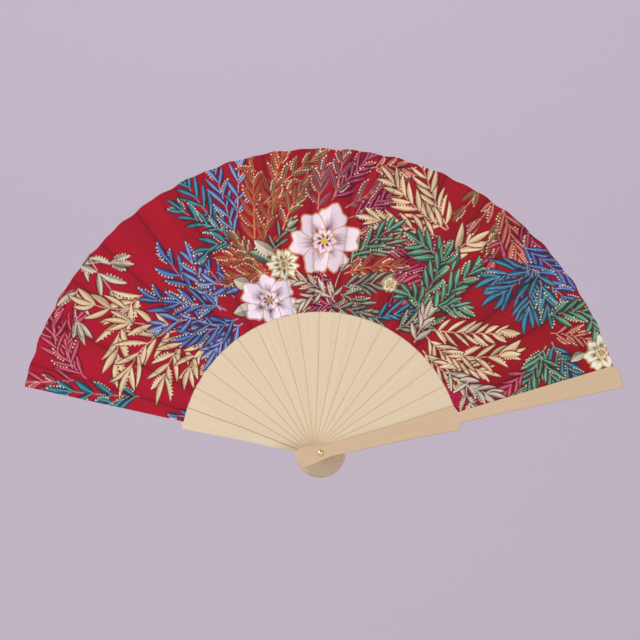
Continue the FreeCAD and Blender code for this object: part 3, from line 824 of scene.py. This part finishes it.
def wood_material(name, pale, dark, turn):
    """Planed wood with faint straight grain along a stick that lies at the angle turn."""
    material, nodes, links, shader = new_material(name)
    grain = grain_pattern(nodes, links, turn)
    ramp = nodes.new("ShaderNodeValToRGB")
    for element, position, colour in zip(ramp.color_ramp.elements, (0.25, 0.8), (dark, pale)):
        element.position = position
        element.color = (*colour, 1)
    links.new(grain, ramp.inputs["Fac"])
    links.new(edge_shade_and_tone(nodes, links, ramp.outputs["Color"]), shader.inputs["Base Color"])
    add_relief(nodes, links, shader, grain, 0.1)
    shader.inputs["Roughness"].default_value = 0.48
    shader.inputs["Specular IOR Level"].default_value = 0.35
    return material


def edge_shade_and_tone(nodes, links, colour):
    """The colour, browner where the surface turns away from the stick's flat faces: partly painted shade
    between the sticks and partly the darker cut wood of their edges.
    """
    shape = nodes.new("ShaderNodeNewGeometry")
    parts = nodes.new("ShaderNodeSeparateXYZ")
    links.new(shape.outputs["True Normal"], parts.inputs["Vector"])
    flatness = nodes.new("ShaderNodeMath")
    flatness.operation = "ABSOLUTE"
    links.new(parts.outputs["Y"], flatness.inputs[0])
    amount = add_node(nodes, "ShaderNodeMapRange", {"From Min": 0.98, "From Max": 0.7})
    links.new(flatness.outputs["Value"], amount.inputs["Value"])
    # Mixes in the edge brown, partly painted shade between the sticks and partly darker cut wood.
    shade = add_node(nodes, "ShaderNodeMixRGB", {"Color2": (*EDGE_SHADE_AND_WOOD, 1)})
    links.new(amount.outputs["Result"], shade.inputs["Fac"])
    links.new(colour, shade.inputs["Color1"])
    return shade.outputs["Color"]


def brass_material():
    """Brass with slightly uneven polish."""
    material, nodes, links, shader = new_material("rivet_brass")
    place = nodes.new("ShaderNodeTexCoord")
    ridge_highlight = add_node(nodes, "ShaderNodeTexNoise", {"Scale": 900})
    links.new(place.outputs["Object"], ridge_highlight.inputs["Vector"])
    rough = add_node(nodes, "ShaderNodeMapRange", {"To Min": 0.3, "To Max": 0.44})
    links.new(ridge_highlight.outputs["Fac"], rough.inputs["Value"])
    links.new(rough.outputs["Result"], shader.inputs["Roughness"])
    shader.inputs["Base Color"].default_value = (*BRASS, 1)
    shader.inputs["Metallic"].default_value = 1.0
    return material


def dress_sticks():
    """Gives each stick its own wood. The front guard's is darker than the others'."""
    tones = random.Random(SEED)
    for n, name in enumerate(STICK_NAMES):
        angle, _, _ = edge_lines(f"leaf_panel_{n:02d}")
        guard = name == "front_guard"
        pale = linear(207, 183, 150) if guard else linear(219, 203, 174)
        dark = linear(198, 172, 138) if guard else linear(211, 194, 163)
        pale = mixed(pale, dark, tones.uniform(0, 0.25))
        set_material(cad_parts[name], wood_material("wood_" + name, pale, dark, angle))


def dress_rivet():
    """Gives the rivet and its two rings their brass."""
    brass = brass_material()
    for name in ("rivet_pin", "front_washer", "rear_washer"):
        set_material(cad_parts[name], brass)


def set_material(thing, material):
    """Makes a material the only one of a CAD node."""
    thing.data.materials.clear()
    thing.data.materials.append(material)


# ---------------------------------------------------------------- stage


SWEEP_HALF_WIDTH, SWEEP_NEAR, SWEEP_TOP = 4.5, -3.4, 4.0
FLOOR, WALL, SWEEP_BEND = -0.75, 3.4, 1.0  # height of the floor, place of the wall, radius between
CAMERA_AWAY, CAMERA_SEES = 2.5, 0.4407  # distance, and the width in view at the fan
FAN_MIDDLE = (0, 0, 0.09)


def sweep_profile(steps=16):
    """(y, z) points of the backdrop: along the floor, round the bend and up the wall."""
    centre_y, centre_z = WALL - SWEEP_BEND, FLOOR + SWEEP_BEND
    profile = [(SWEEP_NEAR, FLOOR), (centre_y, FLOOR)]
    for step in range(1, steps + 1):
        turn = math.pi / 2 * step / steps
        profile.append((centre_y + SWEEP_BEND * math.sin(turn), centre_z - SWEEP_BEND * math.cos(turn)))
    return profile + [(WALL, SWEEP_TOP)]


def make_backdrop():
    """A pale sweep: a floor below the fan that curves up into a wall behind it."""
    profile = sweep_profile()
    points = [(side, y, z) for y, z in profile for side in (-SWEEP_HALF_WIDTH, SWEEP_HALF_WIDTH)]
    faces = [(2 * n, 2 * n + 1, 2 * n + 3, 2 * n + 2) for n in range(len(profile) - 1)]
    mesh = bpy.data.meshes.new("sweep")
    mesh.from_pydata(points, [], faces)
    mesh.shade_smooth()
    sweep = bpy.data.objects.new("sweep", mesh)
    bpy.context.scene.collection.objects.link(sweep)
    material, _, _, shader = new_material("sweep_paper")
    shader.inputs["Base Color"].default_value = (*PAPER, 1)
    shader.inputs["Roughness"].default_value = 0.9
    mesh.materials.append(material)


def add_light(name, place, target, size, power, colour=(1, 1, 1), shape="DISK"):
    """A flat light of a size in m and a power in W, turned to shine at target."""
    data = bpy.data.lights.new(name, "AREA")
    data.shape, data.size, data.energy, data.color = shape, size, power, colour
    light = bpy.data.objects.new(name, data)
    light.location = place
    light.rotation_euler = (Vector(target) - Vector(place)).to_track_quat("-Z", "Y").to_euler()
    bpy.context.scene.collection.objects.link(light)


def make_lights():
    """A key from the upper left, a soft fill, a light from behind, one on the wall, and a dim sky."""
    add_light("key", (-1.9, -1.1, 1.2), FAN_MIDDLE, 0.45, 56, (1.0, 0.98, 0.94))
    add_light("fill", (1.4, -1.9, -0.15), FAN_MIDDLE, 0.9, 17, (0.97, 0.98, 1.0))
    add_light("back", (0.9, 1.7, 1.1), FAN_MIDDLE, 0.8, 18, (1.0, 0.98, 0.96))
    add_light("backdrop", (0, 1.4, 2.4), (0, WALL, 0.1), 1.6, 18, shape="SQUARE")
    world = bpy.data.worlds.new("studio")
    world.use_nodes = True
    background = world.node_tree.nodes["Background"]
    background.inputs["Color"].default_value = (*SKY, 1)
    background.inputs["Strength"].default_value = 0.42
    bpy.context.scene.world = world


def make_camera():
    """Straight on, from far enough away that the fan hardly shows perspective."""
    data = bpy.data.cameras.new("camera")
    data.sensor_width = 36
    data.lens = data.sensor_width * CAMERA_AWAY / CAMERA_SEES
    camera = bpy.data.objects.new("camera", data)
    camera.location = (-0.0003, -CAMERA_AWAY, 0.0912)
    camera.rotation_euler = (math.pi / 2, 0, 0)
    bpy.context.scene.collection.objects.link(camera)
    bpy.context.scene.camera = camera


def make_leaf():
    """The whole pleated leaf, one piece to each panel and fold."""
    material, canvas, rng = cloth_material(), painted_canvas(), random.Random(SEED)
    for piece in leaf_pieces():
        make_leaf_piece(piece, canvas, material, rng)


dress_sticks()
dress_rivet()
make_leaf()
make_backdrop()
make_lights()
make_camera()
bpy.context.scene.view_settings.view_transform = "Standard"
